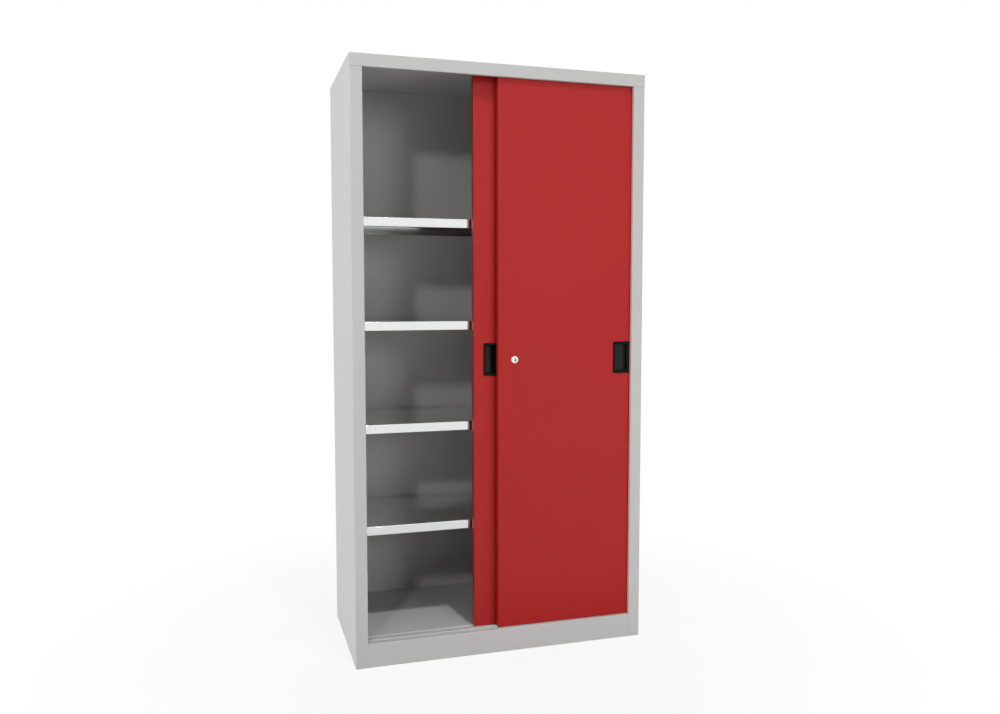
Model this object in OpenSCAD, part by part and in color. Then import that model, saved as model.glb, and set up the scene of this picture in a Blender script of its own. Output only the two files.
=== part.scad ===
// Sliding door cabinet: a tall folded-steel cabinet with two bypass doors on a double track,
// four shelves hung on slotted uprights and a push lock where the closed doors overlap.
// Millimetres. +Z is up, the front faces -Y, and the origin lies on the floor under the middle.

/* [Cabinet] */
// Overall width
cabinet_w = 1000; // [800:10:1300]
// Overall depth
cabinet_d = 515; // [400:5:650]
// Overall height
cabinet_h = 1950; // [1700:10:2300]
// Sheet thickness of the sides, top, floor and plinth
body_sheet = 1; // [0.8:0.1:1.5]
// Sheet thickness of the back
back_sheet = 0.8; // [0.6:0.1:1.2]
// Inside radius of every fold
fold_r = 1; // [0.6:0.1:2]
// Gap left at each panel seam
seam = 0.2; // [0.1:0.05:0.4]

/* [Front frame and base] */
// Width of the stile at each side of the opening
stile_w = 40; // [30:1:60]
// Height of the header over the opening
header_h = 40; // [30:1:60]
// Height of the plinth under the opening
plinth_h = 79; // [65:1:120]
// Depth of the return round the opening
return_d = 12; // [8:1:18]
// Width of the flange at the rear edge of the sides and top
rear_flange = 25; // [18:1:40]
// Width of the flange that the plinth and the rear rail stand on
foot_flange = 25; // [15:1:40]
// Depth of the back panel's folded edge
back_edge = 7.5; // [5:0.5:15]
// Depth of the floor panel's folded edge
floor_edge = 25; // [15:1:40]
// Width of the return along the open side of the floor and back panels
panel_return = 12; // [8:1:20]
// Distance of the rear rail from the back panel
rear_rail_inset = 30; // [20:1:60]

/* [Wall anchors] */
// Diameter of the two holes for wall anchors
anchor_d = 9; // [6:0.5:12]
// Distance between the two holes
anchor_spacing = 840; // [500:10:880]
// Distance of the holes below the top
anchor_drop = 100; // [60:5:200]

/* [Doors] */
// Thickness of a door
door_t = 25; // [22:1:35]
// Sheet thickness of the doors
door_sheet = 1; // [0.8:0.1:1.5]
// Gap between the frame's return and the right door
door_front_gap = 2; // [1:0.5:5]
// Gap between the two doors
door_gap = 8; // [7:0.5:15]
// Overlap of the closed doors
door_overlap = 34; // [20:1:60]
// Gap between a closed door and the side wall
door_edge_gap = 14; // [8:1:25]
// Gap between a door and the track's base
door_floor_gap = 0.8; // [0.5:0.1:1.5]
// Width of the return round the back of a door
door_return = 15; // [10:1:25]
// Distance that the left door stands open
left_door_open = 393; // [0:1:400]
// Further travel of the left door up to its stop
left_door_rest_travel = 10; // [2:1:20]
// Width of the stiffener's crown
stiffener_w = 40; // [20:1:80]
// Depth of the stiffener
stiffener_d = 18; // [10:1:19]
// Width of the stiffener's flanges
stiffener_flange = 15; // [10:1:25]
// Distance of the stiffener from the door's top edge and from the roller carrier
stiffener_end_gap = 40; // [20:1:100]

/* [Track and guide rail] */
// Thickness of the track's base
track_base = 1.2; // [1:0.1:2]
// Height of the two ribs that the rollers run on
rib_h = 3.5; // [3:0.1:4.5]
// Width of a rib
rib_w = 3; // [2:0.1:4]
// Width of the track's base beyond each rib
track_margin = 13; // [8:1:13]
// Gap between each end of a rail and the side wall
rail_end_gap = 3; // [1:0.5:8]
// Inside width of a guide channel
channel_w = 9; // [7:0.5:12]
// Height of the guide rail
guide_rail_h = 20; // [18:1:24]
// Wall of the guide rail
guide_rail_wall = 1.5; // [1:0.1:2]
// Length of a stop block in the guide rail
stop_l = 12; // [8:1:20]
// Height of a stop block
stop_h = 12; // [8:1:14]
// Rivets along each rail
rivets_per_rail = 5; // [3:1:8]
// Distance of the outer rivets from the rail's ends
rivet_inset = 90; // [40:5:150]
// Diameter of a rivet's shank
rivet_d = 4; // [3:0.5:4]
// Diameter of a rivet's head
rivet_head_d = 7; // [6:0.5:7]
// Height of a rivet's head
rivet_head_h = 1.3; // [1:0.1:1.5]

/* [Rollers and guides] */
// Radius of a roller at the bottom of its groove
tread_r = 11; // [9:0.5:14]
// Width of a roller
roller_w = 9; // [7.5:0.5:10]
// Radius of a roller's hub
hub_r = 6; // [5:0.5:7]
// Diameter of the axles
axle_d = 6; // [4:0.5:7]
// Distance of the axles from the door's edges
roller_inset = 60; // [40:1:120]
// Sheet thickness of the roller carrier
carrier_sheet = 1.5; // [1:0.1:2]
// Length of a guide block
guide_l = 30; // [20:1:40]
// Height of a guide block's base
guide_base_h = 2.5; // [2:0.1:4]
// Distance of the guide blocks from the door's edges
guide_inset = 70; // [40:1:120]
// Diameter of the stem that holds a guide block
guide_stem_d = 6; // [4:0.5:8]

/* [Handles] */
// Width of a handle
handle_w = 61; // [40:1:80]
// Height of a handle
handle_h = 110; // [80:1:160]
// Depth of the handle's cup behind the door's face
handle_depth = 20; // [12:1:20]
// Height of the handle's and the lock's middle above the floor
grip_z = 989.5; // [800:0.5:1200]
// Distance of the left handle from the left door's left edge
left_handle_inset = 33; // [25:1:60]
// Distance of the right handle from the right door's right edge
right_handle_inset = 27; // [25:1:60]
// Width of the rim that covers the cut-out
rim_w = 6; // [3:0.5:8]
// Height of the rim over the door
rim_h = 1; // [0.5:0.1:1.5]
// Wall of the cup
cup_wall = 2; // [1.5:0.1:3]
// Corner radius of the handle
handle_r = 4; // [3:0.5:8]

/* [Lock] */
// Distance of the lock from the right door's left edge
lock_inset = 57.5; // [50:0.5:80]
// Diameter of the lock's bezel
bezel_d = 24; // [20:0.5:26]
// Height of the bezel over the door
bezel_h = 2.5; // [1.5:0.1:3]
// Diameter of the lock's barrel
barrel_d = 19; // [17.5:0.5:19.5]
// Length of the barrel behind the door's face
barrel_l = 22; // [21:0.5:23]
// Diameter of the plunger
plunger_d = 15; // [14:0.5:15]
// Diameter of the plunger's pin
pin_d = 8; // [6:0.5:8]
// Distance that the plunger stands out of the bezel before it is pushed
plunger_travel = 6.5; // [4:0.1:6.6]
// Diameter of the key plug
plug_d = 11; // [10:0.5:11.5]
// Length of the key plug
plug_l = 12; // [8:0.5:13]
// Width of the keyway
keyway_w = 2.8; // [1.5:0.1:3]
// Height of the keyway
keyway_h = 8.5; // [6:0.5:9]
// Thickness of the strike plate
strike_t = 3.5; // [3:0.1:4]
// Height of the strike plate
strike_h = 32; // [28:1:50]
// Length of the strike plate on the left door
strike_seat = 26; // [18:1:40]
// Diameter of the strike's hole
strike_hole_d = 10; // [9:0.5:12]

/* [Shelves] */
// Height of the lowest shelf above the floor
shelf_first = 440; // [300:1:600]
// Slots of the uprights between two shelves
slots_per_shelf = 10; // [6:1:10]
// Distance between two slots
slot_pitch = 33.9; // [25:0.1:36]
// Sheet thickness of the shelves
shelf_sheet = 1; // [0.8:0.1:1.5]
// Height of a shelf's folded edge
shelf_lip = 30; // [20:1:40]
// Width of the return under a shelf's edge
shelf_return = 12; // [8:1:20]
// Gap between the left door and the shelves
shelf_door_gap = 15.5; // [10:0.5:40]
// Gap between the shelves and the back panel
shelf_back_gap = 5; // [2:1:20]
// Gap between a shelf and the uprights
shelf_end_gap = 1; // [0.5:0.1:3]
// Depth of an upright from the side wall
upright_d = 15; // [12:1:25]
// Width of an upright
upright_w = 30; // [24:1:40]
// Distance of an upright from the shelf's front or back edge
upright_inset = 20; // [10:1:40]
// Width of a slot
slot_w = 4; // [3:0.5:6]
// Height of a slot
slot_h = 12; // [8:1:14]
// Width of a shelf clip
clip_w = 18; // [12:1:24]
// Height of a shelf clip
clip_h = 26; // [24:1:32]
// Length of the ledge that carries the shelf
clip_ledge = 12; // [8:1:16]
// Thickness of a shelf clip
clip_t = 2; // [1.5:0.1:3]

/* [Hidden] */
// Running clearances
roll_gap = 0.3;
axle_play = 0.08;
slip_fit = 0.1;
rib_play = 0.6;
rib_foot_gap = 0.5;
guide_play = 0.5;
hub_play = 0.3;
carrier_play = 0.1;
through = 1;

// Planes and levels of the body
front_y = -cabinet_d / 2;
back_y = cabinet_d / 2;
wall_x = cabinet_w / 2 - body_sheet;
ceiling_z = cabinet_h - body_sheet;
floor_z = plinth_h - body_sheet - seam;
floor_bottom_z = floor_z - body_sheet;
back_panel_y = back_y - body_sheet - back_edge;
opening_x = cabinet_w / 2 - stile_w;

// Doors, tracks and guide channels
right_door_y = front_y + return_d + door_front_gap;
left_door_y = right_door_y + door_t + door_gap;
right_track_y = right_door_y + door_t / 2;
left_track_y = left_door_y + door_t / 2;
middle_y = (right_track_y + left_track_y) / 2;
door_w = wall_x - door_edge_gap + door_overlap / 2;
left_closed_x = door_edge_gap - wall_x;
left_door_x = left_closed_x + left_door_open;
left_stop_x = left_door_x + left_door_rest_travel;
right_door_x = wall_x - door_edge_gap - door_w;
door_z = floor_z + track_base + door_floor_gap;
guide_rail_z = ceiling_z - guide_rail_h;
door_top = guide_rail_z - guide_play - guide_base_h;
door_h = door_top - door_z;
rail_x = wall_x - rail_end_gap;
rib_top = floor_z + track_base + rib_h;

// Rollers and their carriers
flange_r = tread_r + rib_h - rib_foot_gap;
roller_z = rib_top + roll_gap + tread_r;
groove_w = rib_w + 2 * rib_play;
carrier_w = door_t - 2 * door_sheet - 2 * carrier_play;
carrier_roof_gap = 2.5;
carrier_foot_gap = 2;
carrier_z = door_z + carrier_foot_gap;
carrier_top = roller_z + flange_r + carrier_roof_gap + carrier_sheet;
carrier_end_gap = 1;
hub_l = carrier_w - 2 * carrier_sheet - 2 * hub_play;
roller_places = [roller_inset, door_w - roller_inset];
axle_head_r = axle_d / 2 + 2;
axle_head_h = 1;
web_hole_r = 1.5;
web_holes = 6;
guide_places = [guide_inset, door_w - guide_inset];
guide_base_w = 20;
guide_top_gap = 3.5;
guide_stem_l = 6;
guide_barb = 1;
track_slot_w = roller_w + 3;
track_slot_top = rib_top + 1.5;

// Handles and lock
cup_w = handle_w - 2 * rim_w;
cup_h = handle_h - 2 * rim_w;
cutout_gap = 0.2;
snap_h = 1;
snap_l = 12;
snap_d = 3;
left_handle_x = left_handle_inset + handle_w / 2;
right_handle_x = door_w - right_handle_inset - handle_w / 2;
lock_x = right_door_x + lock_inset;
lock_step = 8;
collar_d = 16;
collar_l = 2;
collar_y = lock_step + roll_gap;
barrel_cap = 2;
nut_d = 28;
nut_l = 5;
bezel_chamfer = 0.8;
pin_tip_y = door_t - slip_fit - roll_gap;
plunger_front_y = -bezel_h - plunger_travel;
spring_wire = 0.8;
spring_turns = 2.5;
spring_sides = 6;
spring_steps = 16;
spring_r = (pin_d + collar_d) / 4;
spring_y0 = collar_y + collar_l + spring_wire / 2 + slip_fit;
spring_y1 = barrel_l - barrel_cap - spring_wire / 2 - slip_fit;
strike_hole_x = lock_x - left_closed_x;
strike_nose = 12;
strike_r = 3;
strike_rivet_x = door_w - strike_seat / 2;
strike_rivet_spacing = 18;

// Shelves and uprights
shelf_pitch = slots_per_shelf * slot_pitch;
shelf_y = left_door_y + door_t + shelf_door_gap;
shelf_d = back_panel_y - shelf_back_gap - shelf_y;
upright_face_x = wall_x - upright_d;
shelf_x = upright_face_x - shelf_end_gap;
front_upright_y = shelf_y + upright_inset;
rear_upright_y = shelf_y + shelf_d - upright_inset - upright_w;
upright_top_gap = 5;
hook_drop = 14;
hook_l = 4;
hook_play = 0.4;
slot_margin = 40;
slot_first_z = shelf_first - shelf_lip - hook_drop;
slots_below = floor((slot_first_z - floor_z - slot_margin) / slot_pitch);
slots_above = floor((ceiling_z - slot_margin - slot_first_z) / slot_pitch);

grey = "#c9cbc9";
red = "#a8332f";
black = "#26282a";
bright = "#dfe3e6";
zinc = "#b7babd";
chrome = "#d9dbdd";
white = "#ececea";

$fn = 48;

// Outline in (Y, Z), drawn out along X
module along_x(x0, x1) {
  translate([x0, 0, 0])
    rotate([90, 0, 90])
      linear_extrude(x1 - x0)
        children();
}

// Outline in (X, Z), drawn out along Y
module along_y(y0, y1) {
  translate([0, y1, 0])
    rotate([90, 0, 0])
      linear_extrude(y1 - y0)
        children();
}

// Round bar along Y
module bar_y(d, y0, y1) {
  translate([0, y0, 0])
    rotate([-90, 0, 0])
      cylinder(d = d, h = y1 - y0);
}

// Rectangle from the origin with round corners
module round_rect(w, h, r) {
  translate([r, 0]) square([w - 2 * r, h]);
  translate([0, r]) square([w, h - 2 * r]);
  for (x = [r, w - r], y = [r, h - r])
    translate([x, y]) circle(r);
}

// The same rectangle about its middle
module round_rect_mid(w, h, r) {
  translate([-w / 2, -h / 2]) round_rect(w, h, r);
}

// Outside length of a fold's leg less the bends at its ends
function flat(outside, bends, t) = outside - bends * (fold_r + t);

// Section of a sheet of thickness t that starts along +X with its right side on the axis.
// Each leg is [flat length, turn]: the turn is 1 to the left, -1 to the right, 0 at the end.
module folded(legs, t, i = 0) {
  run = legs[i][0];
  turn = legs[i][1];
  square([run, t]);
  if (turn != 0) {
    bend_y = turn > 0 ? t + fold_r : -fold_r;
    translate([run, bend_y])
      intersection() {
        difference() {
          circle(fold_r + t);
          circle(fold_r);
        }
        translate([0, turn > 0 ? -fold_r - t : 0])
          square(fold_r + t);
      }
    translate([run + fold_r + (turn > 0 ? t : 0), bend_y])
      rotate(90 * turn)
        folded(legs, t, i + 1);
  }
}

// Block from the origin with the edges along X and along Z rounded
module round_block(w, d, h, r) {
  intersection() {
    linear_extrude(h)
      round_rect(w, d, r);
    along_x(0, w)
      round_rect(d, h, r);
  }
}

// Sheet box with its face at y = 0: folded edges of depth d, and a return round the open back
module folded_box(w, d, h, t, edge_return) {
  difference() {
    round_block(w, d, h, fold_r + t);
    translate([t, t, t])
      round_block(w - 2 * t, d - 2 * t, h - 2 * t, fold_r);
    translate([edge_return, d / 2, edge_return])
      cube([w - 2 * edge_return, d, h - 2 * edge_return]);
  }
}

// The same box laid flat with its face up at z = 0
module folded_tray(w, d, edge, t, edge_return) {
  rotate([-90, 0, 0])
    folded_box(w, edge, d, t, edge_return);
}

// Rivet along +Z: its head stands on z = 0 and its shank goes down through a grip to the tail
module rivet(grip) {
  cylinder(d1 = rivet_head_d, d2 = rivet_head_d - 2 * rivet_head_h, h = rivet_head_h);
  translate([0, 0, -grip])
    cylinder(d = rivet_d, h = grip);
  translate([0, 0, -grip - rivet_head_h])
    cylinder(d = rivet_head_d - rivet_head_h, h = rivet_head_h);
}

// Places of the rivets along a rail
module along_rail() {
  step = 2 * (rail_x - rivet_inset) / (rivets_per_rail - 1);
  for (i = [0 : rivets_per_rail - 1])
    translate([rivet_inset - rail_x + i * step, middle_y, 0])
      children();
}

// Side: outer wall, stile and return at the front, flange at the rear. The header covers the
// stile's top and the top panel's flange covers the rear flange's top.
module side_panel() {
  stile_top = cabinet_h - header_h - seam;
  flange_top = cabinet_h - rear_flange - seam;
  wall_top = ceiling_z - seam;
  rear_leg = [flat(rear_flange, 1, body_sheet), 1];
  stile_leg = [flat(stile_w, 2, body_sheet), 1];
  return_leg = [flat(return_d, 1, body_sheet), 0];
  start = [rear_flange - cabinet_w / 2, back_y, 0];
  translate(start)
    rotate(180)
      linear_extrude(stile_top)
        folded([rear_leg, [flat(cabinet_d, 2, body_sheet), 1], stile_leg, return_leg], body_sheet);
  translate(start)
    rotate(180)
      linear_extrude(flange_top)
        folded([rear_leg, [flat(cabinet_d, 2, body_sheet), 0]], body_sheet);
  translate([-cabinet_w / 2, front_y + body_sheet + fold_r, 0])
    cube([body_sheet, flat(cabinet_d, 2, body_sheet), wall_top]);
}

module left_side_panel() {
  color(grey)
    side_panel();
}

module right_side_panel() {
  color(grey)
    mirror([1, 0, 0])
      side_panel();
}

// Back: a shallow pan seated on the rear flanges, with two holes for wall anchors
module back_panel() {
  color(grey)
    difference() {
      translate([seam - wall_x, back_panel_y, seam])
        folded_box(2 * (wall_x - seam), back_edge, ceiling_z - 2 * seam, back_sheet, panel_return);
      for (side = [-1, 1])
        translate([side * anchor_spacing / 2, 0, cabinet_h - anchor_drop])
          bar_y(anchor_d, back_panel_y - through, back_panel_y + through + back_sheet);
    }
}

// Top: rear flange, roof, header and the return over the opening, folded from one sheet
// The return is cut short at the side walls.
module top_panel() {
  return_end_x = wall_x - seam;
  color(grey)
    difference() {
      along_x(-cabinet_w / 2, cabinet_w / 2)
        translate([back_y, cabinet_h - rear_flange])
          rotate(90)
            folded([
              [flat(rear_flange, 1, body_sheet), 1],
              [flat(cabinet_d, 2, body_sheet), 1],
              [flat(header_h, 2, body_sheet), 1],
              [flat(return_d, 1, body_sheet), 0]
            ], body_sheet);
      for (side = [0, 1])
        mirror([side, 0, 0])
          translate([return_end_x, front_y + body_sheet + fold_r - seam, cabinet_h - header_h - through])
            cube([cabinet_w / 2, return_d, body_sheet + fold_r + through]);
    }
}

// Floor: a tray behind the plinth, notched round the stiles and pierced for the track's rivets
module floor_panel() {
  floor_front_y = front_y + body_sheet + seam;
  notch_x = opening_x - seam;
  color(grey)
    difference() {
      translate([seam - wall_x, floor_front_y, floor_z])
        folded_tray(2 * (wall_x - seam), back_panel_y - seam - floor_front_y, floor_edge, body_sheet, panel_return);
      for (side = [-1, 1])
        translate([side < 0 ? -cabinet_w / 2 : notch_x, front_y, floor_z - floor_edge - through])
          cube([cabinet_w / 2 - notch_x, return_d + seam, floor_edge + 2 * through]);
      translate([0, 0, floor_bottom_z - through])
        along_rail()
          cylinder(d = rivet_d + 2 * slip_fit, h = body_sheet + 2 * through);
    }
}

// Plinth between the stiles: the return on top, the front and the flange that it stands on
module front_plinth() {
  color(grey)
    along_x(seam - opening_x, opening_x - seam)
      translate([front_y + return_d, plinth_h])
        rotate(180)
          folded([
            [flat(return_d, 1, body_sheet), 1],
            [flat(plinth_h, 2, body_sheet), 1],
            [flat(foot_flange, 1, body_sheet), 0]
          ], body_sheet);
}

// Rear base rail: a channel that carries the floor near the back
module rear_base_rail() {
  rail_end_x = wall_x - seam - panel_return - through;
  color(grey)
    along_x(-rail_end_x, rail_end_x)
      translate([back_panel_y - rear_rail_inset, floor_bottom_z])
        rotate(180)
          folded([
            [flat(foot_flange, 1, body_sheet), 1],
            [flat(floor_bottom_z, 2, body_sheet), 1],
            [flat(foot_flange, 1, body_sheet), 0]
          ], body_sheet);
}

// Track: a flat base with one round-topped rib under the middle of each door
module bottom_track() {
  color(grey)
    difference() {
      along_x(-rail_x, rail_x) {
        translate([right_track_y - track_margin, floor_z])
          square([left_track_y - right_track_y + 2 * track_margin, track_base]);
        for (y = [right_track_y, left_track_y]) {
          translate([y - rib_w / 2, floor_z])
            square([rib_w, rib_top - rib_w / 2 - floor_z]);
          translate([y, rib_top - rib_w / 2])
            circle(d = rib_w);
        }
      }
      translate([0, 0, floor_z - through])
        along_rail()
          cylinder(d = rivet_d + 2 * slip_fit, h = track_base + 2 * through);
    }
}

// Guide rail: two channels that hang from the roof and hold the doors' top guides
module top_guide_rail() {
  channel_half = channel_w / 2 + guide_rail_wall;
  color(zinc)
    difference() {
      along_x(-rail_x, rail_x) {
        translate([right_track_y - channel_half, ceiling_z - guide_rail_wall])
          square([left_track_y - right_track_y + 2 * channel_half, guide_rail_wall]);
        for (y = [right_track_y, left_track_y], side = [-1, 1])
          translate([y + side * (channel_w + guide_rail_wall) / 2 - guide_rail_wall / 2, guide_rail_z])
            square([guide_rail_wall, guide_rail_h]);
      }
      translate([0, 0, ceiling_z - guide_rail_wall - through])
        along_rail()
          cylinder(d = rivet_d + 2 * slip_fit, h = guide_rail_wall + 2 * through);
    }
}

// Stops: rubber blocks in the guide channels where the guides end their travel
module rail_stops() {
  guide_reach = guide_inset - guide_l / 2;
  left_end_x = left_closed_x + guide_reach - roll_gap - stop_l;
  right_end_x = right_door_x + door_w - guide_reach + roll_gap;
  left_door_end_x = left_stop_x + door_w - guide_reach + roll_gap;
  stop_w = channel_w - 2 * slip_fit;
  color(black)
    for (place = [[left_end_x, right_track_y], [right_end_x, right_track_y],
                  [left_end_x, left_track_y], [left_door_end_x, left_track_y]])
      translate([place[0], place[1] - stop_w / 2, ceiling_z - guide_rail_wall - stop_h])
        cube([stop_l, stop_w, stop_h]);
}

module track_rivets() {
  color(grey)
    translate([0, 0, floor_z + track_base])
      along_rail()
        rivet(track_base + body_sheet);
}

// The guide rail's rivets end flush with the roof's underside
module guide_rail_rivets() {
  color(zinc)
    translate([0, 0, ceiling_z - guide_rail_wall])
      along_rail()
        mirror([0, 0, 1]) {
          cylinder(d1 = rivet_head_d, d2 = rivet_head_d - 2 * rivet_head_h, h = rivet_head_h);
          translate([0, 0, -guide_rail_wall])
            cylinder(d = rivet_d, h = guide_rail_wall);
        }
}

// Upright on the left wall: a channel with its slotted web towards the shelves
module upright(y) {
  difference() {
    translate([-wall_x, y, floor_z])
      linear_extrude(ceiling_z - upright_top_gap - floor_z)
        folded([
          [flat(upright_d, 1, body_sheet), 1],
          [flat(upright_w, 2, body_sheet), 1],
          [flat(upright_d, 1, body_sheet), 0]
        ], body_sheet);
    for (i = [-slots_below : slots_above])
      translate([-upright_face_x - 2 * body_sheet, y + (upright_w - slot_w) / 2, slot_first_z - slot_h / 2 + i * slot_pitch])
        cube([3 * body_sheet, slot_w, slot_h]);
  }
}

module left_front_upright() {
  color(grey)
    upright(front_upright_y);
}

module left_rear_upright() {
  color(grey)
    upright(rear_upright_y);
}

module right_front_upright() {
  color(grey)
    mirror([1, 0, 0])
      upright(front_upright_y);
}

module right_rear_upright() {
  color(grey)
    mirror([1, 0, 0])
      upright(rear_upright_y);
}

// Height of a shelf's top, counted from the highest of the four
function shelf_top(number) = shelf_first + (4 - number) * shelf_pitch;

// Shelf: a bright tray with its edges folded down and returned
module shelf(number) {
  color(bright)
    translate([-shelf_x, shelf_y, shelf_top(number)])
      folded_tray(2 * shelf_x, shelf_d, shelf_lip, shelf_sheet, shelf_return);
}

module shelf_1() {
  shelf(1);
}

module shelf_2() {
  shelf(2);
}

module shelf_3() {
  shelf(3);
}

module shelf_4() {
  shelf(4);
}

// Clip at a left upright: ledge under the shelf, leg on the web and a hook in a slot
module shelf_clip(y) {
  hook_w = slot_w - hook_play;
  hook_h = slot_h - 2 * hook_play;
  translate([-upright_face_x, y + (upright_w - clip_w) / 2, -clip_t])
    cube([clip_ledge, clip_w, clip_t]);
  translate([-upright_face_x, y + (upright_w - clip_w) / 2, -clip_h])
    cube([clip_t, clip_w, clip_h]);
  translate([-upright_face_x - hook_l, y + (upright_w - hook_w) / 2, -hook_drop - hook_h / 2])
    cube([hook_l + clip_t / 2, hook_w, hook_h]);
}

module shelf_clips(number) {
  color(zinc)
    translate([0, 0, shelf_top(number) - shelf_lip])
      for (side = [0, 1], y = [front_upright_y, rear_upright_y])
        mirror([side, 0, 0])
          shelf_clip(y);
}

module shelf_1_clips() {
  shelf_clips(1);
}

module shelf_2_clips() {
  shelf_clips(2);
}

module shelf_3_clips() {
  shelf_clips(3);
}

module shelf_4_clips() {
  shelf_clips(4);
}

// Moves a door's own frame, from its lower left front corner, to its place
module at_left_door() {
  translate([left_door_x, left_door_y, door_z])
    children();
}

module at_right_door() {
  translate([right_door_x, right_door_y, door_z])
    children();
}

// Door: a folded sheet box, open along the track and behind the axles, cut for its handle and
// its guides' stems
module door_panel(handle_x) {
  difference() {
    folded_box(door_w, door_t, door_h, door_sheet, door_return);
    translate([-through, (door_t - track_slot_w) / 2, -through])
      cube([door_w + 2 * through, track_slot_w, track_slot_top - door_z + through]);
    translate([door_return, door_t / 2, -through])
      cube([door_w - 2 * door_return, door_t, door_return + 2 * through]);
    translate([handle_x, 0, grip_z - door_z])
      along_y(-through, door_sheet + through)
        round_rect_mid(cup_w + 2 * cutout_gap, cup_h + 2 * cutout_gap, handle_r);
    for (x = guide_places)
      translate([x, door_t / 2, door_h - door_sheet - through])
        cylinder(d = guide_stem_d + 2 * slip_fit, h = door_sheet + 2 * through);
  }
}

module left_door_panel() {
  color(red)
    at_left_door()
      difference() {
        door_panel(left_handle_x);
        strike_rivet_places()
          bar_y(rivet_d + 2 * slip_fit, -through, door_sheet + through);
      }
}

module right_door_panel() {
  color(red)
    at_right_door()
      difference() {
        door_panel(right_handle_x);
        translate([lock_inset, 0, grip_z - door_z])
          bar_y(barrel_d + 2 * slip_fit, -through, door_sheet + through);
      }
}

// Stiffener: a hat section down the middle of the door's inside
module door_stiffener() {
  stiffener_z = carrier_top - door_z + stiffener_end_gap;
  crown = flat(stiffener_w, 2, door_sheet);
  side = stiffener_d - 2 * fold_r - 2 * door_sheet;
  translate([(door_w - stiffener_w) / 2 - stiffener_flange, door_sheet, stiffener_z])
    linear_extrude(door_h - stiffener_end_gap - stiffener_z)
      folded([
        [stiffener_flange - fold_r, 1],
        [side, -1],
        [crown, -1],
        [side, 1],
        [stiffener_flange - fold_r, 0]
      ], door_sheet);
}

module left_door_stiffener() {
  color(red)
    at_left_door()
      door_stiffener();
}

module right_door_stiffener() {
  color(red)
    at_right_door()
      door_stiffener();
}

// Carrier: a channel inside the door's foot that holds both axles
module roller_carrier() {
  carrier_h = carrier_top - carrier_z;
  side = flat(carrier_h, 1, carrier_sheet);
  difference() {
    along_x(door_sheet + carrier_end_gap, door_w - door_sheet - carrier_end_gap)
      translate([(door_t + carrier_w) / 2, carrier_z - door_z])
        rotate(90)
          folded([[side, 1], [flat(carrier_w, 2, carrier_sheet), 1], [side, 0]], carrier_sheet);
    for (x = roller_places)
      translate([x, 0, roller_z - door_z])
        bar_y(axle_d + 2 * slip_fit, -through, door_t + through);
  }
}

module left_roller_carrier() {
  color(zinc)
    at_left_door()
      roller_carrier();
}

module right_roller_carrier() {
  color(zinc)
    at_right_door()
      roller_carrier();
}

// Axles: pins across the carrier with a head at the back
module roller_axles() {
  axle_y0 = (door_t - carrier_w) / 2;
  axle_y1 = (door_t + carrier_w) / 2;
  for (x = roller_places)
    translate([x, 0, roller_z - door_z]) {
      bar_y(axle_d, axle_y0, axle_y1);
      bar_y(2 * axle_head_r, axle_y1, axle_y1 + axle_head_h);
    }
}

module left_roller_axles() {
  color(zinc)
    at_left_door()
      roller_axles();
}

module right_roller_axles() {
  color(zinc)
    at_right_door()
      roller_axles();
}

// Roller: a grooved wheel with a long hub and a ring of lightening holes
module roller(x) {
  web_hole_ring = (hub_r + tread_r) / 2;
  translate([x, door_t / 2, roller_z - door_z])
    difference() {
      union() {
        bar_y(2 * hub_r, -hub_l / 2, hub_l / 2);
        bar_y(2 * flange_r, -roller_w / 2, roller_w / 2);
      }
      difference() {
        bar_y(2 * flange_r + through, -groove_w / 2, groove_w / 2);
        bar_y(2 * tread_r, -groove_w, groove_w);
      }
      bar_y(axle_d + 2 * axle_play, -hub_l, hub_l);
      for (i = [1 : web_holes])
        rotate([0, i * 360 / web_holes, 0])
          translate([web_hole_ring, 0, 0])
            bar_y(2 * web_hole_r, -roller_w, roller_w);
    }
}

module left_door_left_roller() {
  color(white)
    at_left_door()
      roller(roller_places[0]);
}

module left_door_right_roller() {
  color(white)
    at_left_door()
      roller(roller_places[1]);
}

module right_door_left_roller() {
  color(white)
    at_right_door()
      roller(roller_places[0]);
}

module right_door_right_roller() {
  color(white)
    at_right_door()
      roller(roller_places[1]);
}

// Guides: blocks on the door's top edge, each with a tongue in the channel and a barbed stem
module door_guides() {
  tongue_w = channel_w - 2 * guide_play;
  tongue_top = ceiling_z - guide_rail_wall - guide_top_gap - door_top;
  for (x = guide_places)
    translate([x, door_t / 2, door_h]) {
      translate([-guide_l / 2, -guide_base_w / 2, 0])
        cube([guide_l, guide_base_w, guide_base_h]);
      translate([-guide_l / 2, -tongue_w / 2, 0])
        cube([guide_l, tongue_w, tongue_top]);
      translate([0, 0, -guide_stem_l])
        cylinder(d = guide_stem_d, h = guide_stem_l);
      translate([0, 0, -guide_stem_l])
        cylinder(d1 = guide_stem_d, d2 = guide_stem_d + 2 * guide_barb, h = guide_stem_l - door_sheet - slip_fit);
    }
}

module left_door_guides() {
  color(white)
    at_left_door()
      door_guides();
}

module right_door_guides() {
  color(white)
    at_right_door()
      door_guides();
}

// Handle: a cup behind the door's face, a rim over the cut-out and snap noses behind the sheet
module handle(x) {
  inner_r = handle_r - cup_wall / 2;
  translate([x, 0, grip_z - door_z]) {
    difference() {
      union() {
        along_y(-rim_h, 0)
          round_rect_mid(handle_w, handle_h, handle_r);
        along_y(-rim_h, handle_depth)
          round_rect_mid(cup_w, cup_h, handle_r);
      }
      along_y(-rim_h - through, handle_depth - cup_wall)
        round_rect_mid(cup_w - 2 * cup_wall, cup_h - 2 * cup_wall, inner_r);
    }
    for (side = [-1, 1])
      translate([side < 0 ? -cup_w / 2 - snap_h : cup_w / 2 - cup_wall / 2, door_sheet + slip_fit, -snap_l / 2])
        cube([snap_h + cup_wall / 2, snap_d, snap_l]);
  }
}

module left_handle() {
  color(black)
    at_left_door()
      handle(left_handle_x);
}

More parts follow.
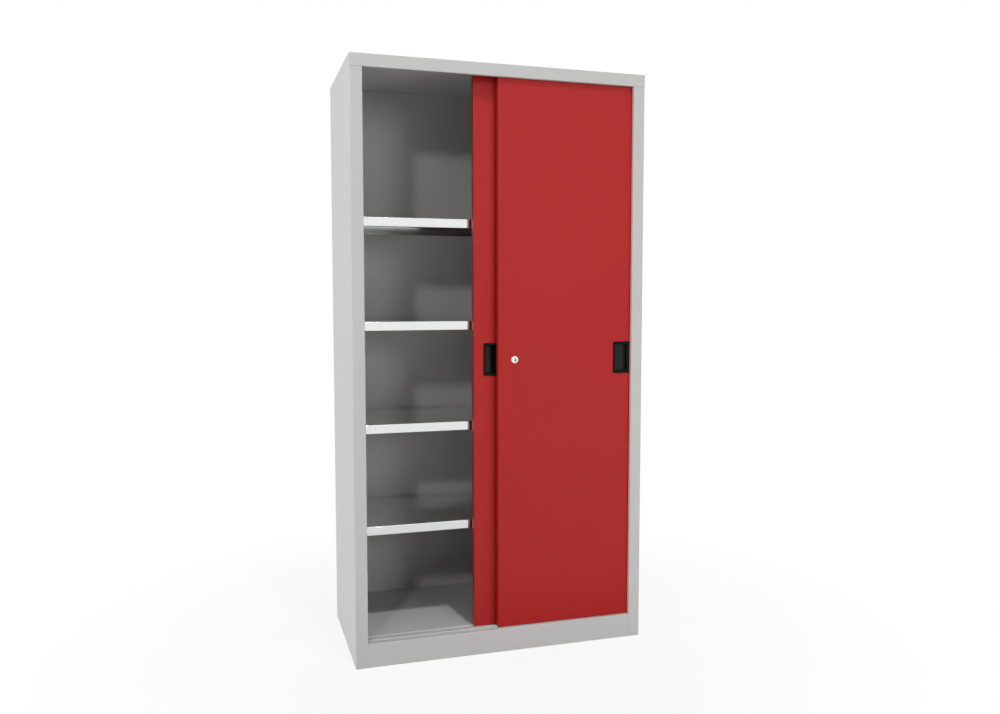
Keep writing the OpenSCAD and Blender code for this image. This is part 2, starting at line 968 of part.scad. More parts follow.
module right_handle() {
  color(black)
    at_right_door()
      handle(right_handle_x);
}

// Places of the strike's rivets in the left door's frame
module strike_rivet_places() {
  for (side = [-1, 1])
    translate([strike_rivet_x, 0, grip_z - door_z + side * strike_rivet_spacing / 2])
      children();
}

// Strike: a plate on the left door that reaches behind the lock when both doors are closed
module lock_strike() {
  strike_x0 = door_w - strike_seat;
  strike_x1 = strike_hole_x + strike_nose;
  color(zinc)
    at_left_door()
      difference() {
        translate([strike_x0, 0, grip_z - door_z - strike_h / 2])
          along_y(-strike_t, 0)
            round_rect(strike_x1 - strike_x0, strike_h, strike_r);
        translate([strike_hole_x, 0, grip_z - door_z])
          bar_y(strike_hole_d, -strike_t - through, through);
        strike_rivet_places() {
          bar_y(rivet_d + 2 * slip_fit, -strike_t - through, through);
          bar_y(rivet_head_d + 2 * slip_fit, -strike_t - through, rivet_head_h - strike_t);
        }
      }
}

// The strike's rivets: heads sunk in the plate, tails behind the door's sheet
module strike_rivets() {
  color(zinc)
    at_left_door()
      strike_rivet_places() {
        bar_y(rivet_head_d, -strike_t, rivet_head_h - strike_t);
        bar_y(rivet_d, -strike_t, door_sheet);
        bar_y(rivet_head_d - rivet_head_h, door_sheet, door_sheet + rivet_head_h);
      }
}

// Frame of the lock: its axis along Y, with y = 0 on the right door's face
module at_lock() {
  translate([lock_x, right_door_y, grip_z])
    children();
}

// Housing: bezel on the door's face and a barrel with a stepped bore and a pierced end
module lock_housing() {
  bore_d = plunger_d + 2 * slip_fit;
  collar_bore_d = collar_d + 2 * slip_fit;
  color(chrome)
    at_lock()
      difference() {
        union() {
          bar_y(bezel_d, bezel_chamfer - bezel_h, 0);
          translate([0, -bezel_h, 0])
            rotate([-90, 0, 0])
              cylinder(d1 = bezel_d - 2 * bezel_chamfer, d2 = bezel_d, h = bezel_chamfer);
          bar_y(barrel_d, -bezel_chamfer, barrel_l);
        }
        bar_y(bore_d, -bezel_h - through, lock_step + through);
        bar_y(collar_bore_d, lock_step, barrel_l - barrel_cap);
        bar_y(pin_d + 2 * slip_fit, lock_step, barrel_l + through);
      }
}

module lock_nut() {
  color(zinc)
    at_lock()
      difference() {
        translate([0, door_sheet, 0])
          rotate([-90, 0, 0])
            cylinder(d = nut_d, h = nut_l, $fn = 6);
        bar_y(barrel_d + 2 * slip_fit, 0, door_sheet + nut_l + through);
      }
}

// Spring round the pin, between the plunger's collar and the end of the barrel
function spring_point(turn, around) =
  let (radius = spring_r + spring_wire / 2 * cos(around))
  [radius * cos(turn * 360),
   spring_y0 + (spring_y1 - spring_y0) * turn / spring_turns + spring_wire / 2 * sin(around),
   radius * sin(turn * 360)];

module lock_spring() {
  rings = spring_turns * spring_steps;
  points = [for (i = [0 : rings], k = [0 : spring_sides - 1])
    spring_point(i / spring_steps, k * 360 / spring_sides)];
  walls = [for (i = [0 : rings - 1], k = [0 : spring_sides - 1])
    let (a = i * spring_sides + k, b = i * spring_sides + (k + 1) % spring_sides)
    each [[a, b, b + spring_sides], [a, b + spring_sides, a + spring_sides]]];
  first_cap = [for (k = [1 : spring_sides - 2]) [0, k + 1, k]];
  last = rings * spring_sides;
  last_cap = [for (k = [1 : spring_sides - 2]) [last, last + k, last + k + 1]];
  color(zinc)
    at_lock()
      polyhedron(points, concat(walls, first_cap, last_cap));
}

// Plunger: a button with a collar that the housing holds back, and the pin that enters the strike
module lock_plunger() {
  color(chrome)
    at_lock()
      difference() {
        union() {
          bar_y(plunger_d, plunger_front_y, collar_y + collar_l);
          bar_y(collar_d, collar_y, collar_y + collar_l);
          bar_y(pin_d, collar_y, pin_tip_y);
        }
        bar_y(plug_d + 2 * axle_play, plunger_front_y - through, plunger_front_y + plug_l + axle_play);
      }
}

// Key plug: a core with a keyway in the plunger's face
module lock_plug() {
  keyway_d = plug_l - 2;
  color(chrome)
    at_lock()
      difference() {
        bar_y(plug_d, plunger_front_y, plunger_front_y + plug_l);
        translate([-keyway_w / 2, plunger_front_y - through, -keyway_h / 2])
          cube([keyway_w, keyway_d + through, keyway_h]);
      }
}

left_side_panel();
right_side_panel();
back_panel();
top_panel();
floor_panel();
front_plinth();
rear_base_rail();
bottom_track();
top_guide_rail();
rail_stops();
track_rivets();
guide_rail_rivets();
left_front_upright();
left_rear_upright();
right_front_upright();
right_rear_upright();
shelf_1();
shelf_2();
shelf_3();
shelf_4();
shelf_1_clips();
shelf_2_clips();
shelf_3_clips();
shelf_4_clips();
left_door_panel();
left_door_stiffener();
left_roller_carrier();
left_roller_axles();
left_door_guides();
left_handle();
lock_strike();
strike_rivets();
right_door_panel();
right_door_stiffener();
right_roller_carrier();
right_roller_axles();
right_door_guides();
right_handle();
lock_housing();
lock_nut();
lock_spring();
lock_plunger();
lock_plug();
left_door_left_roller();
left_door_right_roller();
right_door_left_roller();
right_door_right_roller();
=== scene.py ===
from math import pi, radians

import bpy
import numpy as np
from mathutils import Euler, Matrix, Vector


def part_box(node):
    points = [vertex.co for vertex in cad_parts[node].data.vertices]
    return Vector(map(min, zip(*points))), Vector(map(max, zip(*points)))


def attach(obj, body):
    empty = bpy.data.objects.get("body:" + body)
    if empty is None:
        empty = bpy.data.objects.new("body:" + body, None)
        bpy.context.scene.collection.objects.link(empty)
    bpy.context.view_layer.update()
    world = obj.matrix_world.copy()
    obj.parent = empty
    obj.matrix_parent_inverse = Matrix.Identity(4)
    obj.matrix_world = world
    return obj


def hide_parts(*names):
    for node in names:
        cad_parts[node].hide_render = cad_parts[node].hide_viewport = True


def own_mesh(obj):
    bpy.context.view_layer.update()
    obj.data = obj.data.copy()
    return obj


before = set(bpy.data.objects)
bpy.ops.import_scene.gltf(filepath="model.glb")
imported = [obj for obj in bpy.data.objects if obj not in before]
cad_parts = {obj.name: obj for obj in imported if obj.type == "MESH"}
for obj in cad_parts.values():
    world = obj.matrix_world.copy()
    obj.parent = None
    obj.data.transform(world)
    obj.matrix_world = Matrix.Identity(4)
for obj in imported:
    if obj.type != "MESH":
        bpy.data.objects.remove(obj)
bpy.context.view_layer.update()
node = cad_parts


# The cabinet's body: two sides with their stiles, top with its header, back, floor, plinth, rear
# rail, four slotted uprights and the ribbed bottom track. All are steel, folded, welded or riveted
# together, sprayed with light grey powder and stoved to a satin skin with a fine orange peel.
def feed(target, feeds):
    """Links or sets each of a shader node's inputs that is named in feeds."""
    for name, value in feeds.items():
        if isinstance(value, bpy.types.NodeSocket):
            target.id_data.links.new(value, target.inputs[name])
        else:
            target.inputs[name].default_value = value


def put(tree, kind, feeds=None, **settings):
    """Adds one shader node with its settings, and feeds its inputs."""
    made = tree.nodes.new(kind)
    for name, value in settings.items():
        setattr(made, name, value)
    feed(made, feeds or {})
    return made


def effect(name, inputs, **outputs):
    """Starts a node group. Each input is named with its default, a value or a colour, and each
    output with its kind. Gives the group's tree, its inputs and its output node."""
    tree = bpy.data.node_groups.new(name, "ShaderNodeTree")
    for socket, value in inputs.items():
        kind = "NodeSocketColor" if isinstance(value, tuple) else "NodeSocketFloat"
        tree.interface.new_socket(socket, in_out="INPUT", socket_type=kind).default_value = value
    for socket, kind in outputs.items():
        tree.interface.new_socket(socket, in_out="OUTPUT", socket_type=kind)
    return tree, tree.nodes.new("NodeGroupInput").outputs, tree.nodes.new("NodeGroupOutput")


def object_place(tree):
    """The point on the piece, in metres, by which a pattern is laid out."""
    return put(tree, "ShaderNodeTexCoord").outputs["Object"]


def noise(tree, place, per_metre, detail, **feeds):
    """Soft random lumps, so many to the metre. Gives their height, from 0 to 1."""
    feeds = {"Vector": place, "Scale": per_metre, "Detail": detail, **feeds}
    return put(tree, "ShaderNodeTexNoise", feeds).outputs["Fac"]


def bump(tree, height, distance, **feeds):
    """The normal of a skin that rises by distance while height goes from 0 to 1."""
    feeds = {"Height": height, "Distance": distance, **feeds}
    return put(tree, "ShaderNodeBump", feeds).outputs["Normal"]


# Orange peel: millimetre lumps in the stoved skin, over the slow sway of a large flat sheet
orange_peel, given, out = effect(
    "orange_peel", {"Lumps per Metre": 620.0, "Lump Height": 0.00002, "Sway Height": 0.0006},
    Normal="NodeSocketVector")
place = object_place(orange_peel)
sway = noise(orange_peel, place, per_metre=3.2, detail=1.0)
swayed = bump(orange_peel, sway, given["Sway Height"])
lumps = noise(orange_peel, place, per_metre=given["Lumps per Metre"], detail=2.0, Roughness=0.55)
feed(out, {"Normal": bump(orange_peel, lumps, given["Lump Height"], Normal=swayed)})


def reckon(tree, operation, *values, **settings):
    """One step of arithmetic on numbers or sockets. Gives its result."""
    feeds = dict(enumerate(values))
    return put(tree, "ShaderNodeMath", feeds, operation=operation, **settings).outputs[0]


def spread(tree, value, between, to, **settings):
    """Stretches the part of a value between two numbers over two others. The rest is cut off."""
    feeds = {"Value": value, "From Min": between[0], "From Max": between[1],
             "To Min": to[0], "To Max": to[1]}
    return put(tree, "ShaderNodeMapRange", feeds, **settings).outputs["Result"]


def mixed(tree, share, first, second):
    """A colour on the way from the first to the second, by share."""
    feeds = {"Factor": share, "A": first, "B": second}
    return put(tree, "ShaderNodeMix", feeds, data_type="RGBA").outputs["Result"]


def swinging(tree, middle, swing, lumps):
    """A value that follows a noise to both sides: the middle plus swing times the lumps less one half."""
    return reckon(tree, "MULTIPLY_ADD", reckon(tree, "SUBTRACT", lumps, 0.5), swing, middle)


# Coat drift: the slow change of shade and gloss where the spray lay thicker or thinner
coat_drift, given, out = effect(
    "coat_drift", {"Colour": (0.5, 0.5, 0.5, 1), "Thin Colour": (0.6, 0.6, 0.6, 1), "Roughness": 0.35,
                   "Gloss Drift": 0.08},
    Colour="NodeSocketColor", Roughness="NodeSocketFloat")
place = object_place(coat_drift)
clouds = noise(coat_drift, place, per_metre=2.3, detail=3.0)
specks = noise(coat_drift, place, per_metre=70.0, detail=3.0)
thin = spread(coat_drift, clouds, between=(0.3, 0.75), to=(0.0, 0.5))
feed(out, {"Colour": mixed(coat_drift, thin, given["Colour"], given["Thin Colour"]),
           "Roughness": swinging(coat_drift, given["Roughness"], given["Gloss Drift"], specks)})

# Edge rub: a broken line along folds and cut edges, where hands and boxes have polished the coat
edge_rub, given, out = effect(
    "edge_rub", {"Reach": 0.0012, "Breaks per Metre": 90.0}, Mask="NodeSocketFloat")
eased = put(edge_rub, "ShaderNodeBevel", {"Radius": given["Reach"]}, samples=4).outputs["Normal"]
true = put(edge_rub, "ShaderNodeNewGeometry").outputs["Normal"]
turn = put(edge_rub, "ShaderNodeVectorMath", {0: eased, 1: true}, operation="DOT_PRODUCT")
edge = spread(edge_rub, turn.outputs["Value"], between=(0.99, 0.75), to=(0.0, 1.0))
breaks = noise(edge_rub, object_place(edge_rub), per_metre=given["Breaks per Metre"], detail=4.0)
worn = spread(edge_rub, breaks, between=(0.42, 0.7), to=(0.0, 1.0))
feed(out, {"Mask": reckon(edge_rub, "MULTIPLY", edge, worn)})


def bare_tree(owner):
    """The shader tree of a material or of the surround, with nothing in it yet."""
    owner.use_nodes = True
    owner.node_tree.nodes.clear()
    return owner.node_tree


def finish_of(name, **constants):
    """A new material with only its surface shader, whose constant sockets are set: in their names _
    stands for a space. Gives the material, its tree and the shader."""
    made = bpy.data.materials.new(name)
    tree = bare_tree(made)
    feeds = {socket.replace("_", " "): value for socket, value in constants.items()}
    shader = put(tree, "ShaderNodeBsdfPrincipled", feeds)
    put(tree, "ShaderNodeOutputMaterial", {"Surface": shader.outputs["BSDF"]})
    return made, tree, shader


def placed(tree, group, **values):
    """Places an effect in a material with its own values, named as in finish_of. Gives its outputs."""
    feeds = {socket.replace("_", " "): value for socket, value in values.items()}
    return put(tree, "ShaderNodeGroup", feeds, node_tree=group).outputs


def stoved_powder(name, colour, thin_colour, rubbed_colour):
    """Satin powder coat: drifting shade and gloss, paler broken edges, orange peel in the normal."""
    made, tree, shader = finish_of(name, IOR=1.5, Specular_IOR_Level=0.42)
    drift = placed(tree, coat_drift, Colour=colour, Thin_Colour=thin_colour, Roughness=0.42)
    rub_strength = 0.35
    rub = reckon(tree, "MULTIPLY", placed(tree, edge_rub)["Mask"], rub_strength)
    feed(shader, {"Base Color": mixed(tree, rub, drift["Colour"], rubbed_colour),
                  "Roughness": drift["Roughness"], "Normal": placed(tree, orange_peel)["Normal"]})
    return made


def dress(finish, *names):
    """Gives CAD nodes a finish. Their shapes stay."""
    for name in names:
        node[name].data.materials[0] = finish


grey_coat = stoved_powder("light_grey_powder_coat", colour=(0.49, 0.493, 0.482, 1),
                          thin_colour=(0.51, 0.513, 0.502, 1), rubbed_colour=(0.66, 0.66, 0.65, 1))
dress(grey_coat, "left_side_panel", "right_side_panel", "back_panel", "top_panel", "floor_panel",
      "front_plinth", "rear_base_rail", "left_front_upright", "left_rear_upright", "right_front_upright",
      "right_rear_upright", "bottom_track", "track_rivets")


# Top guide rail, a double channel under the roof, and the small steel parts: rivets, strike plate,
# roller carriers and axles, lock nut and shelf clips. All are drawn or pressed, then zinc plated:
# bright, a little cloudy, with fine lines along the way they were drawn.
drawn_grain, given, out = effect(
    "drawn_grain", {"Lines per Metre": 900.0, "Line Height": 0.000008, "Roughness": 0.28,
                    "Roughness Drift": 0.12},
    Roughness="NodeSocketFloat", Normal="NodeSocketVector")
place = object_place(drawn_grain)
# Along X a line is fifty times as long as it is wide
drawn_out = put(drawn_grain, "ShaderNodeMapping", {"Vector": place, "Scale": (0.02, 1.0, 1.0)})
lines = noise(drawn_grain, drawn_out.outputs["Vector"], per_metre=given["Lines per Metre"], detail=2.0)
clouds = noise(drawn_grain, place, per_metre=35.0, detail=4.0)
feed(out, {"Roughness": swinging(drawn_grain, given["Roughness"], given["Roughness Drift"], clouds),
           "Normal": bump(drawn_grain, lines, given["Line Height"])})

zinc_plate, tree, shader = finish_of("zinc_plate", Metallic=1.0)
tone = placed(tree, coat_drift, Colour=(0.58, 0.59, 0.60, 1), Thin_Colour=(0.66, 0.66, 0.65, 1))
grain = placed(tree, drawn_grain)
feed(shader, {"Base Color": tone["Colour"], "Roughness": grain["Roughness"], "Normal": grain["Normal"]})
dress(zinc_plate, "top_guide_rail", "guide_rail_rivets", "lock_strike", "strike_rivets",
      "left_roller_carrier", "right_roller_carrier", "left_roller_axles", "right_roller_axles", "lock_nut",
      "shelf_1_clips", "shelf_2_clips", "shelf_3_clips", "shelf_4_clips")


# Shelves: trays folded from 1 mm galvanised sheet, left bare and laid on the clips. The zinc is
# rolled nearly to a mirror, with faint crystals a finger wide, each with its own shade and blur.
bright_sheet, tree, shader = finish_of("bright_galvanised_sheet", Metallic=1.0)
place = object_place(tree)
# The crystals' straight borders are bent by up to 6 mm
bend = 0.006
warp = put(tree, "ShaderNodeTexNoise", {"Vector": place, "Scale": 60.0, "Detail": 2.0}).outputs["Color"]
bent = put(tree, "ShaderNodeVectorMath", {0: warp, 1: (bend, bend, bend), 2: place},
           operation="MULTIPLY_ADD")
cells = put(tree, "ShaderNodeTexVoronoi", {"Vector": bent.outputs["Vector"], "Scale": 85.0})
crystal = cells.outputs["Color"]
feed(shader, {"Base Color": mixed(tree, crystal, (0.80, 0.81, 0.81, 1), (0.84, 0.84, 0.84, 1)),
              "Roughness": spread(tree, crystal, between=(0.0, 1.0), to=(0.075, 0.11))})
dress(bright_sheet, "shelf_1", "shelf_2", "shelf_3", "shelf_4")


# Sliding doors: each a box folded from one sheet, with a hat-section stiffener welded inside, and
# the same powder coat as the body in red.
red_coat = stoved_powder("red_powder_coat", colour=(0.355, 0.0085, 0.0075, 1),
                         thin_colour=(0.375, 0.0105, 0.0085, 1), rubbed_colour=(0.55, 0.10, 0.08, 1))
dress(red_coat, "left_door_panel", "left_door_stiffener", "right_door_panel", "right_door_stiffener")


# Handles: one black moulding each, a finger cup behind the door's face with a rim over the edge of
# its cut-out. It is pushed in from the front and held by two snap noses. The rim and the cup are lit
# and shaded copies of one plastic: the rim's low shine is painted shade, and the cup, with a fine
# pebble grain, has a higher shine that is painted sheen.
def arc(across, depth, radius, start, stop, steps):
    """Points of a circle's arc round (across, depth), from the angle start to stop in degrees."""
    angle = np.radians(np.linspace(start, stop, steps))
    return np.stack([across + radius * np.cos(angle), depth + radius * np.sin(angle)], 1)


def rounded_outline(width, height, radius, inset):
    """A rectangle's outline with round corners, drawn in by inset: each corner's arc keeps its
    middle while its radius shrinks, and stays a little round."""
    steps, least_radius = 7, 0.0004
    radius = max(radius - inset, least_radius)
    angle = np.linspace(0, pi / 2, steps)[None, :] + np.arange(4)[:, None] * pi / 2
    side = np.array([[1, 1], [-1, 1], [-1, -1], [1, -1]])
    middle = side * (np.array([width, height]) / 2 - inset - radius)
    across = middle[:, :1] + radius * np.cos(angle)
    up = middle[:, 1:] + radius * np.sin(angle)
    return np.stack([across.ravel(), up.ravel()], 1)


def skin(name, grids, material, body, stands_for, crease=35):
    """One object from grids of points (ring, place on the ring, xyz). Neighbouring rings are joined
    by quads. A grid whose last ring equals its first is a closed loop, and any other has flat ends.
    Faces whose volume comes out negative are turned over, so that all point outwards."""
    points, faces, start = [], [], 0
    for grid in grids:
        looped = np.allclose(grid[0], grid[-1])
        rings = grid[:-1] if looped else grid
        count, width = rings.shape[:2]
        index = np.arange(count * width).reshape(count, width)
        after = np.roll(index, -1, 1)
        last = count if looped else count - 1
        corners = index[:last], after[:last], np.roll(after, -1, 0)[:last], np.roll(index, -1, 0)[:last]
        quads = np.stack(corners, -1).reshape(-1, 4)
        ends = [] if looped else [index[0][::-1], index[-1]]
        co = rings.reshape(-1, 3)
        a, b, c, d = (co[quads[:, k]] - co.mean(0) for k in range(4))
        volume = (np.cross(b, c) * a).sum() + (np.cross(c, d) * a).sum()
        if volume < 0:
            quads = quads[:, ::-1]
            ends = [end[::-1] for end in ends]
        points.append(co)
        faces += (quads + start).tolist() + [(end + start).tolist() for end in ends]
        start += len(co)
    mesh = bpy.data.meshes.new(name)
    mesh.from_pydata(np.concatenate(points), [], faces)
    mesh.polygons.foreach_set("use_smooth", np.ones(len(mesh.polygons), bool))
    mesh.set_sharp_from_angle(angle=radians(crease))
    mesh.materials.append(material)
    piece = bpy.data.objects.new(name, mesh)
    bpy.context.scene.collection.objects.link(piece)
    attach(piece, body)
    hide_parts(stands_for)
    return piece


def finish_faces(piece, finish, faces):
    """Gives those of a piece's faces whose numbers are listed a second finish."""
    piece.data.materials.append(finish)
    finish_number = np.zeros(len(piece.data.polygons), np.int32)
    finish_number[faces] = 1
    piece.data.polygons.foreach_set("material_index", finish_number)


def let_drift(tree, shader, **values):
    """Feeds a shader's colour and roughness from the coat drift, with the given values."""
    drift = placed(tree, coat_drift, **values)
    feed(shader, {"Base Color": drift["Colour"], "Roughness": drift["Roughness"]})


def black_plastic(name, pebble_height, shine):
    """Plastic dyed through, nearly black, with pebbles two thirds of a millimetre wide."""
    made, tree, shader = finish_of(name, IOR=1.49, Specular_IOR_Level=shine)
    let_drift(tree, shader, Colour=(0.005, 0.006, 0.006, 1), Thin_Colour=(0.008, 0.009, 0.009, 1),
              Roughness=0.1)
    pebbles = put(tree, "ShaderNodeTexVoronoi", {"Vector": object_place(tree), "Scale": 1500.0},
                  feature="SMOOTH_F1")
    feed(shader, {"Normal": bump(tree, pebbles.outputs["Distance"], pebble_height)})
    return made


# Two copies of one plastic: the rim's low shine is painted shade, the cup's higher shine painted sheen
shaded_rim_copy = black_plastic("black_rim_painted_shade", pebble_height=0.000001, shine=0.08)
lit_grained_cup = black_plastic("black_grained_cup_painted_sheen", pebble_height=0.000006, shine=0.26)
corner_round = 0.004
rim_width = 0.006
rim_proud = 0.001
rim_round = 0.0008
mouth_round = 0.0006
cup_depth = 0.020
cup_wall = 0.002
cup_draft = 0.0006
floor_round = 0.003
back_round = 0.001
nose_length = 0.012
nose_proud = 0.001
nose_near = 0.0011
nose_tip = 0.0008
nose_far = 0.0041
# The section in (inset, depth) runs from the cup's floor up its wall, over the rim and down behind
inner = rim_width + cup_wall
floor_depth = cup_depth - cup_wall
cup_floor = np.concatenate([
    [[inner + cup_draft + 3 * floor_round, floor_depth]],
    arc(inner + cup_draft + floor_round, floor_depth - floor_round, floor_round, 90, 180, 7)])
section = np.concatenate([
    cup_floor,
    arc(inner - mouth_round, mouth_round - rim_proud, mouth_round, 0, -90, 6),
    arc(rim_round, rim_round - rim_proud, rim_round, 270, 180, 6),
    [[0, 0], [rim_width, 0]],
    arc(rim_width + back_round, cup_depth - back_round, back_round, 180, 90, 4)])
for side in ("left", "right"):
    low, high = np.array(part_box(f"{side}_handle"))
    middle = (low + high) / 2
    width, height = (high - low)[[0, 2]]
    face = low[1] + rim_proud
    rings = np.stack([
        np.insert(rounded_outline(width, height, corner_round, inset) + middle[[0, 2]], 1, face + depth, 1)
        for inset, depth in section])
    noses = []
    for sign in (-1, 1):
        root = middle[0] + sign * (width / 2 - rim_width - cup_wall / 2)
        tip = middle[0] + sign * (width / 2 - rim_width + nose_proud)
        wedge = np.array([[root, nose_near], [tip, nose_near],
                          [tip, nose_near + nose_tip], [root, nose_far]])
        noses.append(np.stack([np.insert(wedge, 2, middle[2] + end * nose_length, 1) + [0, face, 0]
                               for end in (-0.5, 0.5)]))
    moulding = skin(f"{side}_handle_moulding", [rings, *noses], shaded_rim_copy, f"{side}_door",
                    f"{side}_handle")
    # The first bands are the cup's floor, round and wall, and the floor's middle follows the last band
    per_band = rings.shape[1]
    floor_middle = (len(rings) - 1) * per_band
    finish_faces(moulding, lit_grained_cup, [*range(len(cup_floor) * per_band), floor_middle])


# Lock: a push cylinder of chromed zinc casting. The bezel and its threaded barrel are held in the
# door by a nut. The plunger slides in the barrel against a spring and holds the turning key plug.
def turned(profile, centre):
    """A lathe profile of (radius, depth) points swept once round an axis along Y through centre."""
    steps = 72
    angle = np.linspace(0, 2 * pi, steps, endpoint=False)
    radius, depth = np.array(profile, float).T[:, :, None]
    rings = np.broadcast_arrays(radius * np.cos(angle), depth, radius * np.sin(angle))
    return np.stack(rings, -1) + centre


chrome, tree, shader = finish_of("chrome_plate", Metallic=1.0)
haze = noise(tree, object_place(tree), per_metre=300.0, detail=3.0)
tone = placed(tree, coat_drift, Colour=(0.92, 0.92, 0.92, 1), Thin_Colour=(0.95, 0.95, 0.94, 1))
feed(shader, {"Base Color": tone["Colour"],
              "Roughness": spread(tree, haze, between=(0.0, 1.0), to=(0.05, 0.12))})

# Depths are counted from the door's face inwards. The bezel and the button have the same round edge
slip_fit = 0.0001
edge_round = 0.0008
button_radius = 0.0075
collar_radius = 0.008
pin_radius = 0.004

# Bezel and barrel: one casting, hollow for the plunger, its collar and its pin
bezel_radius = 0.012
bezel_proud = 0.0025
hole_radius = button_radius + slip_fit
hole_bevel = 0.0003
barrel_length = 0.022
barrel_floor = 0.020
shoulder = 0.008
bore_radius = collar_radius + slip_fit
pin_hole_radius = pin_radius + slip_fit
thread_crest = 0.0095
thread_root = 0.0091
thread_pitch = 0.001
thread_start = 0.0015
thread_turns = 20
low, high = np.array(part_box("lock_housing"))
lock_at = np.array([(low[0] + high[0]) / 2, low[1] + bezel_proud, (low[2] + high[2]) / 2])
thread = [point for crest in thread_start + thread_pitch * np.arange(thread_turns)
          for point in ((thread_crest, crest), (thread_root, crest + thread_pitch / 2))]
housing = [
    (hole_radius, hole_bevel - bezel_proud), (hole_radius + hole_bevel, -bezel_proud),
    *arc(bezel_radius - edge_round, edge_round - bezel_proud, edge_round, -90, 0, 5),
    (bezel_radius, 0), (thread_crest, 0), *thread, (thread_root, barrel_length),
    (pin_hole_radius, barrel_length), (pin_hole_radius, barrel_floor), (bore_radius, barrel_floor),
    (bore_radius, shoulder), (hole_radius, shoulder), (hole_radius, hole_bevel - bezel_proud)]
skin("lock_bezel_and_barrel", [turned(housing, lock_at)], chrome, "right_door", "lock_housing",
     crease=25)

# Plunger: its button stands out of the bezel by its travel, and its two ends close with small caps
plunger_travel = 0.0065
button_front = -bezel_proud - plunger_travel
plug_radius = 0.0055
plug_length = 0.012
plug_bevel = 0.0004
plug_play = 0.00008
seat_radius = plug_radius + plug_play
seat_floor = button_front + plug_length + plug_play
seat_mouth = 0.0059
collar_start = 0.0083
collar_end = 0.0103
pin_end = 0.0246
pin_bevel = 0.0005
cap_radius = 0.0005
plunger = [
    (cap_radius, seat_floor), (seat_radius, seat_floor), (seat_radius, button_front + plug_bevel),
    (seat_mouth, button_front),
    *arc(button_radius - edge_round, button_front + edge_round, edge_round, -90, 0, 5),
    (button_radius, collar_start), (collar_radius, collar_start), (collar_radius, collar_end),
    (pin_radius, collar_end), (pin_radius, pin_end - pin_bevel), (pin_radius - pin_bevel, pin_end),
    (cap_radius, pin_end)]
skin("lock_plunger_button", [turned(plunger, lock_at)], chrome, "lock_plunger", "lock_plunger",
     crease=25)

# Key plug: its face is spread from the keyway's flared mouth to its round rim, along rays of which
# four pass through the keyway's corners
half_keyway = np.array([0.0014, 0.00425])
mouth_flare = np.array([0.0007, 0.0006])
mouth_depth = 0.0008
keyway_depth = 0.010
even_rays = 64
corner_ray = np.arctan2(half_keyway[1], half_keyway[0])
rays = np.sort(np.concatenate([np.linspace(0, 2 * pi, even_rays, endpoint=False),
                               [corner_ray, pi - corner_ray, pi + corner_ray, 2 * pi - corner_ray]]))
ray = np.stack([np.cos(rays), np.sin(rays)])


def slot_edge(half):
    """How far each ray runs in a slot: the half width over its cosine or the half height over its
    sine, whichever is less."""
    return 1 / (abs(ray) / half[:, None]).max(0)


plug_rings = [
    (slot_edge(half_keyway), keyway_depth), (slot_edge(half_keyway), mouth_depth),
    (slot_edge(half_keyway + mouth_flare), 0), (plug_radius - plug_bevel, 0), (plug_radius, plug_bevel),
    (plug_radius, plug_length)]
plug = np.stack([np.insert((reach * ray).T, 1, button_front + depth, 1) for reach, depth in plug_rings])
key_plug = skin("lock_key_plug", [plug + lock_at], chrome, "lock_plug", "lock_plug", crease=25)

# The keyway is bare metal, painted near-black as shade for the keyhole: its wall, its mouth and its end,
# the last face but one
painted_keyway_shade, tree, shader = finish_of("keyway_painted_shade", IOR=1.5, Specular_IOR_Level=0.2)
let_drift(tree, shader, Colour=(0.02, 0.02, 0.021, 1), Thin_Colour=(0.05, 0.048, 0.045, 1), Roughness=0.6,
          Gloss_Drift=0.3)
wall_and_mouth = 2 * len(rays)
finish_faces(key_plug, painted_keyway_shade, [*range(wall_and_mouth), -2])

# Return spring: a steel wire's circle carried along a helix round the plunger's pin
wire_radius = 0.0004
wire_sides = 10
coil_turns = 2.5
coil_steps = 80
low, high = np.array(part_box("lock_spring"))
coil_radius = (high[0] - low[0]) / 2 - wire_radius
turn = np.linspace(0, 2 * pi * coil_turns, coil_steps)[:, None]
rise = np.linspace(low[1] + wire_radius, high[1] - wire_radius, coil_steps)[:, None]
round_wire = np.linspace(0, 2 * pi, wire_sides, endpoint=False)[None, :]
reach = coil_radius + wire_radius * np.cos(round_wire)
spring = np.stack([reach * np.cos(turn), rise + wire_radius * np.sin(round_wire), reach * np.sin(turn)], -1)
wound = skin("lock_return_spring", [spring + lock_at * [1, 0, 1]], zinc_plate, "right_door",
             "lock_spring")
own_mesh(wound)


# Rollers and top guides: white acetal, moulded and slightly waxy. The rollers turn on their axles, and
# the guides are pressed into the doors' top edges. Rubber stops in the guide rail end their travel.
white_acetal, tree, shader = finish_of("white_acetal", IOR=1.48, Subsurface_Weight=0.1)
let_drift(tree, shader, Colour=(0.80, 0.80, 0.77, 1), Thin_Colour=(0.84, 0.84, 0.82, 1), Roughness=0.33)
dress(white_acetal, "left_door_left_roller", "left_door_right_roller", "right_door_left_roller",
      "right_door_right_roller", "left_door_guides", "right_door_guides")

stop_rubber, tree, shader = finish_of("stop_rubber", IOR=1.52)
let_drift(tree, shader, Colour=(0.018, 0.018, 0.018, 1), Thin_Colour=(0.03, 0.03, 0.03, 1), Roughness=0.7)
dress(stop_rubber, "rail_stops")


# Studio: a pale floor that keeps the cabinet's shadow, a white surround and soft lamps. In metal the
# surround shows white, and so does the floor, but for a band of painted shade along the cabinet's front.
floor_reach = 14.0
floor_mesh = bpy.data.meshes.new("studio_floor")
floor_mesh.from_pydata(floor_reach * np.array([[-1, -1, 0], [1, -1, 0], [1, 1, 0], [-1, 1, 0]]), [],
                       [(0, 1, 2, 3)])
floor = bpy.data.objects.new("studio_floor", floor_mesh)
bpy.context.scene.collection.objects.link(floor)
pale = bpy.data.materials.new("pale_floor")
tree = bare_tree(pale)
seen = put(tree, "ShaderNodeLightPath").outputs
place = object_place(tree)
